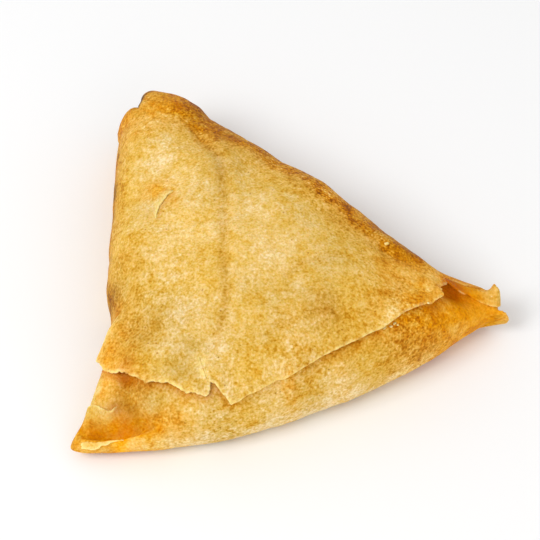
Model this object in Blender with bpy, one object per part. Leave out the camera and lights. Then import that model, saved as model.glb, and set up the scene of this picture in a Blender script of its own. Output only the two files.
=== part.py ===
"""Folded triangular samosa: one solid of baked strip pastry, filled and wrapped.

A strip of thin pastry is wound round a filling into a triangle.  The last turn comes
over the back edge and lies on the top as a loose flap, whose torn end stops just short
of the front edge.  The two front corners are pinched folds that stay partly open.

Working units are millimetres; the mesh is written in metres, +Z up, standing on z = 0,
with the front edge towards -Y, the apex towards +Y and the open corner towards +X.
"""
import math

import bmesh
import bpy
import numpy as np
from mathutils import Vector
from mathutils.geometry import delaunay_2d_cdt

MM = 0.001

# ---- overall sizes, mm
EDGE_RISE = 11.0        # how far the rounded edges rise above the widest line
CROWN = 5.0             # extra swell of the filling in the middle
MID_HEIGHT = 7.0        # height of the widest line along the sides
EDGE_ROLL = 6.0         # roll of the long edges
TIP_ROLL = 3.0          # roll of the apex
RIM_LEVEL = 0.006       # where the closeness field is cut, rounds the plan corners
PASTRY = 0.9            # thickness of one pastry layer
FLAP_LIFT = 0.35        # gap under the flap's torn edge
WRAP = 1.125            # how far round the edges the flap is carried (1 = widest line)

# ---- mesh sizes
BODY_SEGMENTS = 112
FLAP_STEP = 2.7
EDGE_STEP = 1.5

CENTRE = np.array([-8.0, 0.0])
APEX = np.array([-25.0, 48.0])
LEFT_CORNER = np.array([-38.0, -39.0])
OPEN_CORNER = np.array([47.0, -8.0])


def smooth(a, b, x):
    t = np.clip((x - a) / (b - a), 0.0, 1.0)
    return t * t * (3.0 - 2.0 * t)


def hump(p, c, size):
    """Round bump of height 1 about the plan point c."""
    return np.exp(-(((p - np.asarray(c)) ** 2).sum(axis=1)) / size ** 2)


def natural_spline(stations):
    """Natural cubic through (t, f) stations, level beyond its ends."""
    t = stations[:, 0]
    f = stations[:, 1]
    n = len(t)
    h = np.diff(t)
    a = np.eye(n)
    b = np.zeros(n)
    for i in range(1, n - 1):
        a[i, i - 1:i + 2] = (h[i - 1], 2.0 * (h[i - 1] + h[i]), h[i])
        b[i] = 6.0 * ((f[i + 1] - f[i]) / h[i] - (f[i] - f[i - 1]) / h[i - 1])
    m = np.linalg.solve(a, b)

    def value(x):
        x = np.clip(np.asarray(x, float), t[0], t[-1])
        k = np.clip(np.searchsorted(t, x) - 1, 0, n - 2)
        left = t[k + 1] - x
        right = x - t[k]
        cubic = (m[k] * left ** 3 + m[k + 1] * right ** 3) / (6.0 * h[k])
        lo = (f[k] / h[k] - m[k] * h[k] / 6.0) * left
        hi = (f[k + 1] / h[k] - m[k + 1] * h[k] / 6.0) * right
        return cubic + lo + hi

    return value


class Side:
    """One bowed side of the plan.  The inside lies on the left of its stations."""

    def __init__(self, stations, roll):
        pts = np.array(stations, float)
        along = pts[-1] - pts[0]
        self.start = pts[0]
        self.along = along / np.linalg.norm(along)
        self.inward = np.array([-self.along[1], self.along[0]])
        rel = pts - self.start
        self.bow = natural_spline(np.stack([rel @ self.along, rel @ self.inward], axis=1))
        self.roll = roll

    def distance(self, p):
        rel = p - self.start
        return rel @ self.inward - self.bow(rel @ self.along)


FRONT = Side([(-46, -40), (-38.9, -40.9), (-31.5, -41.2), (-18, -40.1), (-3.2, -36.7), (11.6, -30.8),
              (26.8, -23), (36.5, -16.7), (43.5, -11.9), (49, -10.6), (55, -10.4)], EDGE_ROLL)
BACK = Side([(56, -3.4), (50.5, -3.9), (45.5, -4), (38.5, -1.8), (31, 2.4), (19.2, 13.2),
             (8.2, 23.2), (-3.2, 31.8), (-11, 38), (-15.2, 44.5), (-19, 56)], EDGE_ROLL)
LEFT = Side([(-32.6, 58), (-32.9, 45), (-33.3, 36), (-33.5, 22), (-33.7, 4), (-33.2, -8),
             (-33.1, -16), (-35.2, -27), (-38.4, -35.5), (-43, -44)], 5.0)
APEX_END = Side([(-5, 39.5), (-12.2, 41.8), (-15.4, 44.6), (-20.5, 47), (-25.5, 47.6), (-28.4, 46.9),
                 (-30.3, 44.4), (-35.5, 42.8), (-40, 42.4)], TIP_ROLL)
LEFT_END = Side([(-43.4, -36.5), (-41.2, -40.2), (-38, -44.5)], 2.5)
OPEN_END = Side([(50, -14), (50.8, -9.5), (50.6, -7.6), (49.2, -6), (48.4, -3.5), (48, 1)], 1.0)
SIDES = (FRONT, BACK, LEFT, APEX_END, LEFT_END, OPEN_END)


def closeness(p):
    """0 on the outline, rising to 1 well inside; negative outside."""
    value = np.ones(len(p))
    outside = np.zeros(len(p), bool)
    for side in SIDES:
        d = side.distance(p)
        value = value * np.abs(1.0 - np.exp(-np.clip(d, -20.0, 200.0) / side.roll))
        outside |= d < 0.0
    value = np.where(outside, -value - 1e-6, value)
    return (value - RIM_LEVEL) / (1.0 - RIM_LEVEL)


def outline_radius(count):
    """Distance from the centre to the outline in evenly spaced directions."""
    angle = np.arange(count) * 2.0 * math.pi / count
    ray = np.stack([np.cos(angle), np.sin(angle)], axis=1)
    lo = np.full(count, 15.0)
    hi = lo.copy()
    found = np.zeros(count, bool)
    for k in range(120):
        reach = 15.0 + 0.5 * k
        crossed = (closeness(CENTRE + ray * reach) < 0.0) & ~found
        hi[crossed] = reach
        lo[crossed] = reach - 0.5
        found |= crossed
    for _ in range(30):
        mid = (lo + hi) / 2.0
        inside = closeness(CENTRE + ray * mid[:, None]) > 0.0
        lo = np.where(inside, mid, lo)
        hi = np.where(inside, hi, mid)
    return (lo + hi) / 2.0


RADII = outline_radius(2048)


def rim_radius(angle):
    x = (angle / (2.0 * math.pi) * len(RADII)) % len(RADII)
    k = x.astype(int)
    f = x - k
    return RADII[k % len(RADII)] * (1.0 - f) + RADII[(k + 1) % len(RADII)] * f


EASE = 0.15


def reach_of(q):
    """Plan reach (0 centre, 1 outline) at the way round q (0 top centre, 1 rim, 2 below)."""
    t = 1.0 - np.where(q > 1.0, 2.0 - q, q)
    return 1.0 - (np.sqrt(t * t + EASE ** 2) - EASE) / (math.sqrt(1.0 + EASE ** 2) - EASE)


def way_of(reach):
    k = math.sqrt(1.0 + EASE ** 2) - EASE
    w = np.maximum(1.0 - reach, 0.0)
    return 1.0 - np.sqrt((w * k + EASE) ** 2 - EASE ** 2)


def middle_height(p):
    """Height of the widest line: low at the pinched corners, high at the apex."""
    return (MID_HEIGHT - 4.2 * hump(p, LEFT_CORNER, 14) - 1.6 * hump(p, OPEN_CORNER, 13)
            + 1.6 * hump(p, APEX, 16))


def filling_lumps(p):
    x = p[:, 0]
    y = p[:, 1]
    return (0.45 * np.sin(x / 5.3 + 0.6) * np.sin(y / 6.1 + 1.1) + 0.35 * np.sin(x / 3.9 - y / 4.7 + 2.0)
            + 0.25 * np.sin(x / 2.7 + y / 6.9 + 0.5) * np.sin(y / 3.3))


def along_line(p, line):
    """Distance to a polyline, and the place along it from 0 to 1."""
    line = np.array(line, float)
    length = np.linalg.norm(np.diff(line, axis=0), axis=1)
    start = np.concatenate([[0.0], np.cumsum(length)])
    best = np.full(len(p), 1e9)
    place = np.zeros(len(p))
    for i in range(len(length)):
        step = (line[i + 1] - line[i]) / length[i]
        rel = p - line[i]
        t = np.clip(rel @ step, 0.0, length[i])
        d = np.linalg.norm(rel - t[:, None] * step, axis=1)
        nearer = d < best
        best = np.where(nearer, d, best)
        place = np.where(nearer, (start[i] + t) / start[-1], place)
    return best, place


# raised folds and sunk creases: line in plan, half width, height along the line
FOLDS = (
    (((-39.5, -39.6), (-33, -40), (-25, -39.8), (-14, -38.3)), 1.5, (0.3, 1.3, 1.2, 0.0)),
    (((34, -1.6), (39, -3.7), (43.5, -5.2), (48.2, -6.2)), 2.2, (0.2, 0.7, 0.9, 1.4)),
)
CREASES = (
    (((-39.5, -37), (-33, -36.4), (-26, -36), (-18, -35.4), (-10, -33.5)), 2.4, (-0.5, -2.9, -3.2, -1.8, 0)),
    (((-29.5, -24), (-29.8, -30), (-31, -35)), 2.4, (-2.0, -2.0, -0.8)),
    (((30, -5.2), (38, -6.6), (44, -8), (48.5, -8.7)), 1.7, (-1.5, -3.6, -2.2, -1.2)),
)


def relief_of(p, lines):
    """Summed height of a set of folds or creases."""
    total = np.zeros(len(p))
    for line, width, heights in lines:
        d, place = along_line(p, line)
        total += np.interp(place, np.linspace(0.0, 1.0, len(heights)), heights) * np.exp(-(d / width) ** 2)
    return total


def top_height(p, creased):
    near = np.clip(closeness(p), 0.0, 1.0)
    edge = np.sqrt(1.0 - (1.0 - near) ** 2.2)
    crown = np.ones(len(p))
    for side, reach in ((FRONT, 29.0), (BACK, 28.0), (LEFT, 27.0)):
        crown = crown * np.clip(side.distance(p), 0.0, 99.0) / reach
    pinch = 0.5 * hump(p, LEFT_CORNER, 22) + 0.5 * hump(p, OPEN_CORNER, 20) + 0.3 * hump(p, APEX, 18)
    z = middle_height(p) + EDGE_RISE * (1.0 - pinch) * edge + CROWN * crown
    relief = filling_lumps(p) * smooth(0.1, 0.8, near) + relief_of(p, FOLDS)
    if creased:
        relief = relief + relief_of(p, CREASES)
    return z + relief * smooth(0.0, 0.1, near)


def bottom_height(p):
    """Rounded under the edges, then level on z = 0."""
    near = np.clip(closeness(p), 0.0, 1.0)
    return middle_height(p) * (1.0 - np.sqrt(1.0 - np.maximum(1.0 - near / 0.62, 0.0) ** 2.6))


def skin(u, creased):
    """Surface point for unrolled plan points u: inside the rim is the top, outside the underside."""
    angle = np.arctan2(u[:, 1], u[:, 0])
    radius = rim_radius(angle)
    q = np.clip(np.hypot(u[:, 0], u[:, 1]) / radius, 0.0, 2.0)
    ray = np.stack([np.cos(angle), np.sin(angle)], axis=1)
    p = CENTRE + ray * (reach_of(q) * radius)[:, None]
    z = np.where(q <= 1.0, top_height(p, creased), bottom_height(p))
    return np.concatenate([p, np.maximum(z, 0.0)[:, None]], axis=1)


def skin_normal(u, step=0.35):
    du = np.array([step, 0.0])
    dv = np.array([0.0, step])
    n = np.cross(skin(u + du, False) - skin(u - du, False), skin(u + dv, False) - skin(u - dv, False))
    return n / np.maximum(np.linalg.norm(n, axis=1, keepdims=True), 1e-9)


def unroll(plan):
    """Unrolled point of a plan point on the top."""
    rel = np.array(plan, float) - CENTRE
    angle = np.arctan2(rel[:, 1], rel[:, 0])
    radius = rim_radius(angle)
    q = way_of(np.minimum(np.hypot(rel[:, 0], rel[:, 1]) / radius, 1.0))
    return np.stack([np.cos(angle), np.sin(angle)], axis=1) * (q * radius)[:, None]


def even_angles(count):
    """Directions from the centre that cut the outline into equal lengths."""
    fine = np.arange(4096) * 2.0 * math.pi / 4096
    loop = np.stack([np.cos(fine), np.sin(fine)], axis=1) * rim_radius(fine)[:, None]
    length = np.linalg.norm(np.diff(np.concatenate([loop, loop[:1]]), axis=0), axis=1)
    start = np.concatenate([[0.0], np.cumsum(length)])
    return np.interp(np.arange(count) / count * start[-1], start, np.append(fine, 2.0 * math.pi))


EVEN_ANGLES = even_angles(BODY_SEGMENTS)
RING_WAYS = (0.955, 0.98, 1.0, 1.025, 1.05, 1.075, 1.1)


def resample(points, step, closed):
    pts = np.array(points, float)
    if closed:
        pts = np.concatenate([pts, pts[:1]])
    length = np.linalg.norm(np.diff(pts, axis=0), axis=1)
    start = np.concatenate([[0.0], np.cumsum(length)])
    count = max(3, int(round(start[-1] / step)))
    at = np.linspace(0.0, start[-1], count + 1)
    if closed:
        at = at[:-1]
    return np.stack([np.interp(at, start, pts[:, 0]), np.interp(at, start, pts[:, 1])], axis=1)


def way_round(u):
    return np.hypot(u[:, 0], u[:, 1]) / rim_radius(np.arctan2(u[:, 1], u[:, 0]))


def fill_outline(outline, step):
    """Triangles over a closed unrolled outline: a staggered grid inside the rim, rings beyond it."""
    lo = outline.min(axis=0)
    hi = outline.max(axis=0)
    rows = int((hi[1] - lo[1]) / (step * 0.866)) + 1
    inner = []
    for j in range(1, rows):
        x = np.arange(lo[0] + step * (0.5 if j % 2 else 1.0), hi[0], step)
        inner.append(np.stack([x, np.full(len(x), lo[1] + j * step * 0.866)], axis=1))
    inner = np.concatenate(inner)
    inner = inner[way_round(inner) < 0.93]
    for q in RING_WAYS:
        angle = EVEN_ANGLES
        ring = np.stack([np.cos(angle), np.sin(angle)], axis=1) * (q * rim_radius(angle))[:, None]
        inner = np.concatenate([inner, ring])
    ahead = np.roll(outline, -1, axis=0)
    inside = np.zeros(len(inner), bool)
    for a, b in zip(outline, ahead):
        spans = (a[1] > inner[:, 1]) != (b[1] > inner[:, 1])
        cross = a[0] + (inner[:, 1] - a[1]) / (b[1] - a[1] if b[1] != a[1] else 1.0) * (b[0] - a[0])
        inside ^= spans & (inner[:, 0] < cross)
    gap, _ = along_line(inner, np.concatenate([outline, outline[:1]]))
    inner = inner[inside & (gap > step * 0.45)]
    points = [Vector((float(x), float(y))) for x, y in np.concatenate([outline, inner])]
    ring = list(range(len(outline)))
    verts, _, faces, _, _, _ = delaunay_2d_cdt(points, [], [ring], 1, 1e-5)
    return np.array([tuple(v) for v in verts]), [tuple(f) for f in faces]


def closed_sheet(outline, step, outer, inner):
    """Closed thin solid over an unrolled outline; outer and inner give heights above the skin."""
    u, faces = fill_outline(outline, step)
    base = skin(u, False)
    normal = skin_normal(u)
    above = base + normal * outer(u)[:, None]
    below = base + normal * inner(u)[:, None]
    # layers end just clear of the surface that the samosa stands on
    above[:, 2] = np.maximum(above[:, 2], 0.3)
    below[:, 2] = np.maximum(below[:, 2], 0.6)
    mesh = bmesh.new()
    tops = [mesh.verts.new(v * MM) for v in above]
    lows = [mesh.verts.new(v * MM) for v in below]
    border = {}
    for face in faces:
        a, b, c = face
        if np.cross(u[b] - u[a], u[c] - u[a]) < 0.0:
            face = (a, c, b)
        mesh.faces.new([tops[i] for i in face])
        mesh.faces.new([lows[i] for i in reversed(face)])
        for i in range(3):
            edge = (face[i], face[(i + 1) % 3])
            border[edge] = border.get(edge, 0) + 1
    for a, b in border:
        if (b, a) not in border:
            mesh.faces.new([tops[b], tops[a], lows[a], lows[b]])
    return mesh


def body_mesh():
    """The filled pouch: rings from the top centre over the rim to the level underside."""
    mesh = bmesh.new()
    radius = rim_radius(EVEN_ANGLES)
    ray = np.stack([np.cos(EVEN_ANGLES), np.sin(EVEN_ANGLES)], axis=1)
    inner = np.concatenate([np.linspace(0.15, 0.75, 6), np.linspace(0.8, 0.93, 5)])
    ways = np.concatenate([inner, RING_WAYS, (1.13, 1.16, 1.2, 1.25, 1.3, 1.36)])
    rings = []
    for way in ways:
        pts = skin(ray * (way * radius)[:, None], True)
        rings.append([mesh.verts.new(v * MM) for v in pts])
    for v in rings[-1]:
        v.co.z = 0.0
    crown = mesh.verts.new(skin(np.zeros((1, 2)), True)[0] * MM)
    n = BODY_SEGMENTS
    for i in range(n):
        j = (i + 1) % n
        mesh.faces.new([crown, rings[0][i], rings[0][j]])
        for a, b in zip(rings, rings[1:]):
            mesh.faces.new([a[i], b[i], b[j], a[j]])
    mesh.faces.new(list(reversed(rings[-1])))
    return mesh


# the flap's free torn edge, from the left side to the back of the open corner
FLAP_LEFT_EDGE = ((-32.6, -5), (-31.6, -9), (-31.2, -13), (-31.8, -16.5), (-33.3, -20.5), (-34.6, -24))
FLAP_FRONT_EDGE = ((-34.1, -26), (-32.6, -27.8), (-28, -29.8), (-24.3, -32.5), (-21, -32.9), (-16.7, -34.9),
                   (-12.6, -36.1), (-11.6, -33.9), (-9.5, -35.3), (-7.7, -36.6), (-5.7, -35.9), (3, -32.4),
                   (13.6, -25.9), (23, -20.8), (27.5, -16.8), (34.2, -11.6), (35.4, -8), (36.4, -4.5))


def flap_outline():
    edge = unroll(FLAP_LEFT_EDGE + FLAP_FRONT_EDGE)
    start = unroll([(-33.9, 1.5)])[0]
    stop = unroll([(38.8, -1.2)])[0]
    free = resample(np.concatenate([[start * WRAP, start], edge, [stop, stop * WRAP]]), EDGE_STEP, False)
    a0 = math.atan2(stop[1], stop[0])
    a1 = math.atan2(start[1], start[0]) % (2.0 * math.pi)
    angle = np.linspace(a0, a1, 400)[1:-1]
    wrap = np.stack([np.cos(angle), np.sin(angle)], axis=1) * (WRAP * rim_radius(angle))[:, None]
    wrap = resample(wrap, FLAP_STEP, False)
    return free, np.concatenate([free, wrap])


def level_fade(u):
    """1 on the top, less where the layer thins out low on the sides."""
    return 1.0 - 0.45 * smooth(1.0, WRAP, way_round(u))


def flap_mesh():
    free, outline = flap_outline()

    def outer(u):
        d, _ = along_line(u, free)
        lift = FLAP_LIFT * (1.0 - smooth(0.0, 6.0, d)) * (1.0 + 2.0 * hump(u, (42, -9), 9))
        return (PASTRY + lift + 0.5) * level_fade(u) - 0.5

    def inner(u):
        d, _ = along_line(u, free)
        lift = (FLAP_LIFT + 1.2) * (1.0 - smooth(0.0, 5.0, d)) * (1.0 + hump(u, (42, -9), 9))
        return (lift + 0.4) * level_fade(u) - 1.6

    return closed_sheet(outline, FLAP_STEP, outer, inner)


def small_layer(outline, height, sunk_side):
    """Small loose layer on the skin; it sinks away towards the sunk side."""
    edge = resample(outline, 1.2, True)
    a, b = (np.array(v, float) for v in sunk_side)

    def sink(u):
        d, _ = along_line(u, (a, b))
        return 1.0 - smooth(0.5, 3.0, d)

    def outer(u):
        return height + PASTRY - (PASTRY + height + 0.5) * sink(u)

    def inner(u):
        return height - (height + 1.3) * sink(u)

    return closed_sheet(edge, 1.6, outer, inner)


# loose layers, as closed outlines in plan
CORNER_COVER = ((34, -5.6), (38, -6.2), (43.4, -7.2), (46, -7.6), (48.3, -8.4), (48.5, -7.4), (48, -5.8),
                (46, -4.6), (42, -3.4), (38, -1.9), (34, 0.4))
LEFT_PANEL = ((-33.8, -24), (-35, -29), (-35.9, -32.4), (-34.6, -33.2), (-33, -34), (-31.8, -33.8),
              (-29.8, -34.2), (-29, -29), (-29.5, -24))


def centre_on_base(meshes):
    """Put the origin under the middle of the whole thing, on the surface it stands on."""
    corners = np.array([v.co for mesh in meshes for v in mesh.verts])
    middle = (corners.min(axis=0) + corners.max(axis=0)) / 2.0
    for mesh in meshes:
        bmesh.ops.translate(mesh, verts=mesh.verts[:], vec=(-middle[0], -middle[1], 0.0))


def pastry_material():
    material = bpy.data.materials.new("pastry")
    material.use_nodes = True
    shader = material.node_tree.nodes["Principled BSDF"]
    shader.inputs["Base Color"].default_value = (0.78, 0.50, 0.15, 1.0)
    shader.inputs["Roughness"].default_value = 0.55
    shader.inputs["Metallic"].default_value = 0.0
    return material


def add_object(name, mesh):
    data = bpy.data.meshes.new(name)
    mesh.to_mesh(data)
    mesh.free()
    obj = bpy.data.objects.new(name, data)
    bpy.context.scene.collection.objects.link(obj)
    return obj


def main():
    for obj in list(bpy.data.objects):
        bpy.data.objects.remove(obj)
    layers = {
        "samosa": body_mesh(),
        "flap": flap_mesh(),
        "corner_cover": small_layer(unroll(CORNER_COVER), 0.3, unroll(((34, -6), (34, 0.6)))),
        "left_panel": small_layer(unroll(LEFT_PANEL), 0.2, unroll(((-29.2, -34), (-29.2, -24)))),
    }
    centre_on_base(layers.values())
    samosa, *pieces = [add_object(name, mesh) for name, mesh in layers.items()]
    samosa.data.materials.append(pastry_material())
    samosa.data.shade_smooth()
    for piece in pieces:
        join = samosa.modifiers.new("join_" + piece.name, "BOOLEAN")
        join.operation = "UNION"
        join.solver = "EXACT"
        join.object = piece
        piece.hide_render = True
        piece.display_type = "WIRE"


main()
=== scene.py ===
"""Looks of the folded samosa: baked strip pastry at full detail, round the CAD body."""

import math

import bmesh
import bpy
import numpy as np
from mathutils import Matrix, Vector
from mathutils.geometry import delaunay_2d_cdt
from mathutils.kdtree import KDTree


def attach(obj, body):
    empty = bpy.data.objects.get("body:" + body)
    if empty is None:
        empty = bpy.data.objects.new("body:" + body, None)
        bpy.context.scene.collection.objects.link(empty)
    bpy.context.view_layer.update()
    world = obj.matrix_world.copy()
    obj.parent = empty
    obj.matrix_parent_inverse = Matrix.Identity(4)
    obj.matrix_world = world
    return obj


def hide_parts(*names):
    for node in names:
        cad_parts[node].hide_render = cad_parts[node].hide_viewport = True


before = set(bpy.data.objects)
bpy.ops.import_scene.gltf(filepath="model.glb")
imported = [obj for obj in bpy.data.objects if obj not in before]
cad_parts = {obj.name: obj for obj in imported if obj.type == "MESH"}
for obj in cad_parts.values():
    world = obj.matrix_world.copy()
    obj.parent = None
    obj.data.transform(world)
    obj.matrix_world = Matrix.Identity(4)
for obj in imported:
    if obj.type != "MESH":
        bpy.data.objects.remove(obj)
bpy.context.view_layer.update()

MM = 0.001
# the shapes are worked out in a plan whose centre lies here, in mm, from the part's origin
ORIGIN = np.array([5.289, 3.619, 0.0])


def put(name, data):
    """New object in the scene."""
    made = bpy.data.objects.new(name, data)
    bpy.context.scene.collection.objects.link(made)
    return made


# ---- camera
VIEW_ELEVATION = math.radians(52.0)
VIEW_DISTANCE = 0.380
target = (np.array([0.0, 0.0, 10.0]) - ORIGIN) * MM
camera_data = bpy.data.cameras.new("view")
camera_data.lens = 120.0
camera_data.sensor_width = 36.0
camera_data.clip_start = 0.01
camera = put("view", camera_data)
camera.location = (
    target[0],
    target[1] - VIEW_DISTANCE * math.cos(VIEW_ELEVATION),
    target[2] + VIEW_DISTANCE * math.sin(VIEW_ELEVATION),
)
camera.rotation_euler = (math.pi / 2.0 - VIEW_ELEVATION, 0.0, 0.0)
bpy.context.scene.camera = camera

# ---- sizes, mm
EDGE_RISE = 11.0        # how far the rounded edges rise above the widest line
CROWN = 5.0             # extra swell of the filling in the middle
MID_HEIGHT = 7.0        # height of the widest line along the sides
EDGE_ROLL = 6.0         # roll of the long edges
TIP_ROLL = 2.0          # roll of the apex
RIM_LEVEL = 0.006       # where the closeness is cut, rounds the plan corners
PASTRY = 0.8            # how far the wrap stands on the body
WRAP = 1.125            # how far round the walls the wrap is carried (1 = widest line)
FINE = 0.42             # spacing of the points that show
RIM_COUNT = 8192        # directions in which the outline is measured
CENTRE = np.array([-8.0, 0.0])
APEX = np.array([-25.0, 48.0])
LEFT_CORNER = np.array([-38.0, -39.0])
OPEN_CORNER = np.array([47.0, -8.0])


def smooth(a, b, x):
    t = np.clip((x - a) / (b - a), 0.0, 1.0)
    return t * t * (3.0 - 2.0 * t)


def hump(p, c, size):
    return np.exp(-(((p[:, :2] - np.asarray(c)) ** 2).sum(axis=1)) / size ** 2)


def bell(x, width):
    """1 at x = 0, falling off smoothly on both sides."""
    return np.exp(-(x / width) ** 2)


def rays(angle):
    """Unit vectors of the plan in the given directions."""
    return np.stack([np.cos(angle), np.sin(angle)], axis=1)


def unit(vectors):
    return vectors / np.maximum(np.linalg.norm(vectors, axis=1, keepdims=True), 1e-9)


# ---- noise
_rng = np.random.default_rng(7)
_perm = np.concatenate([_rng.permutation(256)] * 3)
_grad = unit(_rng.normal(size=(256, 3)))


def noise(p, size, seed=0):
    """Smooth gradient noise, about -1 to 1, with features of the given size."""
    q = p / size + np.array([17.31, 5.77, 9.13]) * (seed + 1)
    cell = np.floor(q).astype(int)
    f = q - cell
    u = f * f * f * (f * (f * 6.0 - 15.0) + 10.0)
    total = np.zeros(len(p))
    for corner in np.ndindex(2, 2, 2):
        i, j, k = ((cell + corner) & 255).T
        g = _grad[_perm[_perm[_perm[i] + j] + k]]
        weight = np.where(corner, u, 1.0 - u)
        total += ((f - corner) * g).sum(axis=1) * weight[:, 0] * weight[:, 1] * weight[:, 2]
    return total * 1.6


# ---- plan and skin
def natural_spline(stations):
    """Natural cubic through (t, f) stations, level beyond its ends."""
    t, f = stations.T
    n = len(t)
    h = np.diff(t)
    a = np.eye(n)
    b = np.zeros(n)
    for i in range(1, n - 1):
        a[i, i - 1:i + 2] = (h[i - 1], 2.0 * (h[i - 1] + h[i]), h[i])
        b[i] = 6.0 * ((f[i + 1] - f[i]) / h[i] - (f[i] - f[i - 1]) / h[i - 1])
    m = np.linalg.solve(a, b)

    def value(x):
        x = np.clip(np.asarray(x, float), t[0], t[-1])
        k = np.clip(np.searchsorted(t, x) - 1, 0, n - 2)
        left = t[k + 1] - x
        right = x - t[k]
        cubic = (m[k] * left ** 3 + m[k + 1] * right ** 3) / (6.0 * h[k])
        lo = (f[k] / h[k] - m[k] * h[k] / 6.0) * left
        hi = (f[k + 1] / h[k] - m[k + 1] * h[k] / 6.0) * right
        return cubic + lo + hi

    return value


class Side:
    """One bowed side of the plan.  The inside lies on the left of its stations."""

    def __init__(self, stations, roll, lumps=()):
        pts = np.array(stations, float)
        along = pts[-1] - pts[0]
        self.start = pts[0]
        self.along = along / np.linalg.norm(along)
        self.inward = np.array([-self.along[1], self.along[0]])
        rel = pts - self.start
        self.bow = natural_spline(np.stack([rel @ self.along, rel @ self.inward], axis=1))
        self.roll = roll
        self.lumps = [((np.array(c) - self.start) @ self.along, width, out) for c, width, out in lumps]

    def distance(self, p):
        rel = p[:, :2] - self.start
        t = rel @ self.along
        bulge = sum(out * bell(t - at, width) for at, width, out in self.lumps)
        return rel @ self.inward - self.bow(t) + bulge


# each lump: where the filling pushes the wall out (or it falls in), how wide, how far, mm
FRONT = Side([
    (-46, -40), (-38.9, -40.9), (-31.5, -41.2), (-18, -40.1), (-3.2, -36.7), (11.6, -30.8), (26.8, -23),
    (36.5, -16.7), (43.5, -11.9), (49, -10.6), (55, -10.4),
], EDGE_ROLL, [
    ((41, -14), 4.5, -0.45), ((46.5, -11.4), 3.2, -1.25), ((17, -28), 6, 0.25), ((-30, -41), 9, -0.45),
])
BACK = Side([
    (56, -3.4), (50.5, -3.9), (45.5, -4), (38.5, -1.8), (31, 2.4), (19.2, 13.2), (8.2, 23.2),
    (-3.2, 31.8), (-11, 38), (-15.2, 44.5), (-19, 56),
], EDGE_ROLL, [
    ((3.8, 27), 4.2, -0.75), ((-8, 35.5), 3.4, 0.45), ((-13, 39.5), 1.5, -0.35), ((12.2, 20), 2.4, 0.35),
    ((18, 14.5), 4, -0.25), ((25, 8), 4, -0.2), ((42.5, -3.3), 4.5, 0.8),
])
LEFT = Side([
    (-32.6, 58), (-32.9, 45), (-33.3, 36), (-33.5, 22), (-33.7, 4), (-33.2, -8), (-33.1, -16),
    (-35.2, -27), (-38.4, -35.5), (-43, -44),
], 5.0, [
    ((-33.5, -4), 4.8, 1.05), ((-33.5, 1.5), 2.6, 0.25), ((-33.5, 12), 4.5, -0.3), ((-33, 40), 2, 0.7),
    ((-33, 36.3), 2.2, -0.35), ((-38.8, -37), 4, 0.05),
])
APEX_END = Side([
    (-5, 39.5), (-12.2, 41.6), (-15.4, 43.9), (-20.5, 45.7), (-25.5, 46.3), (-28.3, 46.4), (-30.3, 43.6),
    (-32.6, 41.2), (-35.5, 38.8), (-40, 36.5),
], TIP_ROLL, [
    ((-28.9, 44.8), 1.45, -3.7), ((-20, 47), 3, -0.5), ((-17, 45), 2.6, -0.5), ((-13.5, 43), 1.1, 0.9),
])
LEFT_END = Side([
    (-43.4, -36.5), (-41.2, -40.2), (-38, -44.5),
], 2.5)
OPEN_END = Side([
    (50, -14), (50.3, -11.4), (50.35, -10.2), (50.1, -9.5), (49.2, -9), (48.3, -8.6), (48, -7.9),
    (47.9, -6.8), (47.8, -5), (47.8, -3), (47.6, 1),
], 1.0)
SIDES = (FRONT, BACK, LEFT, APEX_END, LEFT_END, OPEN_END)


def closeness(p):
    """0 on the outline, rising to 1 well inside; negative outside."""
    value = np.ones(len(p))
    outside = np.zeros(len(p), bool)
    for side in SIDES:
        d = side.distance(p)
        value = value * np.abs(1.0 - np.exp(-np.clip(d, -20.0, 200.0) / side.roll))
        outside |= d < 0.0
    value = np.where(outside, -value - 1e-6, value)
    return (value - RIM_LEVEL) / (1.0 - RIM_LEVEL)


RIM_ANGLES = np.arange(RIM_COUNT) * 2.0 * math.pi / RIM_COUNT


def outline_radius():
    ray = rays(RIM_ANGLES)
    first, last, step = 15.0, 75.0, 0.5
    lo = np.full(RIM_COUNT, first)
    hi = lo.copy()
    found = np.zeros(RIM_COUNT, bool)
    for reach in np.arange(first, last, step):
        crossed = (closeness(CENTRE + ray * reach) < 0.0) & ~found
        hi[crossed] = reach
        lo[crossed] = reach - step
        found |= crossed
    for _ in range(30):
        mid = (lo + hi) / 2.0
        inside = closeness(CENTRE + ray * mid[:, None]) > 0.0
        lo = np.where(inside, mid, lo)
        hi = np.where(inside, hi, mid)
    return (lo + hi) / 2.0


RADII = outline_radius()


def rim_radius(angle):
    x = (angle / (2.0 * math.pi) * len(RADII)) % len(RADII)
    k = x.astype(int)
    f = x - k
    return RADII[k % len(RADII)] * (1.0 - f) + RADII[(k + 1) % len(RADII)] * f


def heading(rel):
    """Unit vectors along plan vectors, and how far out the outline lies that way."""
    angle = np.arctan2(rel[:, 1], rel[:, 0])
    return rays(angle), rim_radius(angle)


EASE = 0.15             # rounds the turn at the rim when the plan is unrolled
EASE_RISE = math.sqrt(1.0 + EASE ** 2) - EASE


def reach_of(q):
    """Way out from the centre in plan (1 on the outline) for the unrolled way q, 1 to 2 being underneath."""
    t = 1.0 - np.where(q > 1.0, 2.0 - q, q)
    return 1.0 - (np.sqrt(t * t + EASE ** 2) - EASE) / EASE_RISE


def way_of(reach):
    """Unrolled way of a place on the top, the inverse of reach_of."""
    w = np.maximum(1.0 - reach, 0.0)
    return 1.0 - np.sqrt((w * EASE_RISE + EASE) ** 2 - EASE ** 2)


def middle_height(p):
    return (MID_HEIGHT - 4.2 * hump(p, LEFT_CORNER, 14) - 1.6 * hump(p, OPEN_CORNER, 13)
            + 1.6 * hump(p, APEX, 16))


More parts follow.
